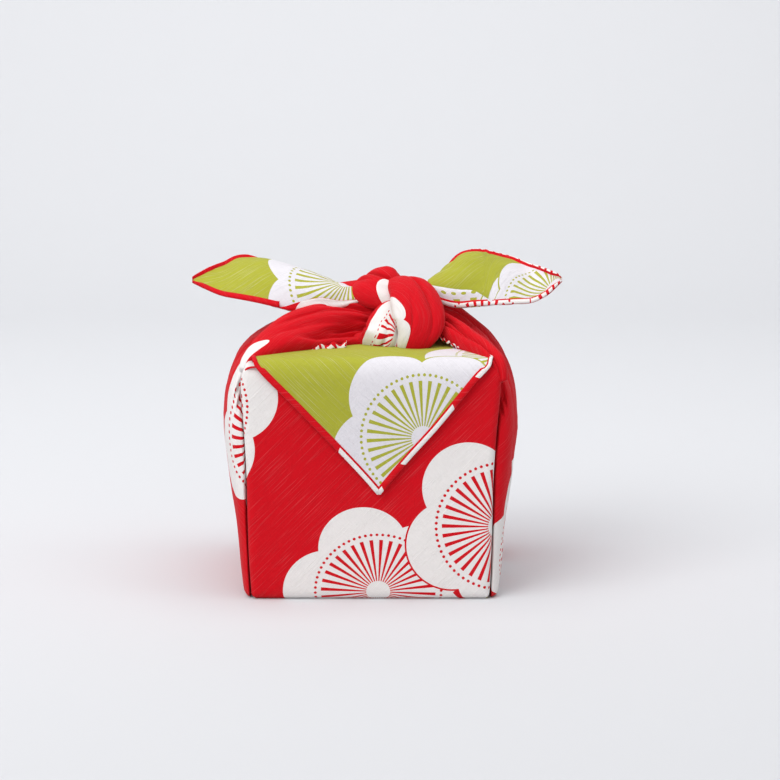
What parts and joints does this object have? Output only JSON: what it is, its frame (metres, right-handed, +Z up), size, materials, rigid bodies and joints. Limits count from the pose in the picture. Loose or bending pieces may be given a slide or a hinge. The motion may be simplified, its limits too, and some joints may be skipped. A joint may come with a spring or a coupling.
{
  "type": "furoshiki wrap",
  "caption": "Square cotton wrapping cloth tied round a small cube parcel: pointed flap folded over the front, side ties in a reef knot on top, leaf-shaped ends.",
  "frame": {"origin": "centre of the flat underside of the wrapped parcel", "axes": "+X to the right across the two leaf ends, +Y away from the flap's face, +Z up"},
  "size_m": [0.1831, 0.1181, 0.1607],
  "materials": {
    "printed_cotton": "matt slub cotton, red and white print outside, green and white print inside"
  },
  "bodies": {
    "root": {"furoshiki_cloth": "printed_cotton"}
  },
  "joints": []
}
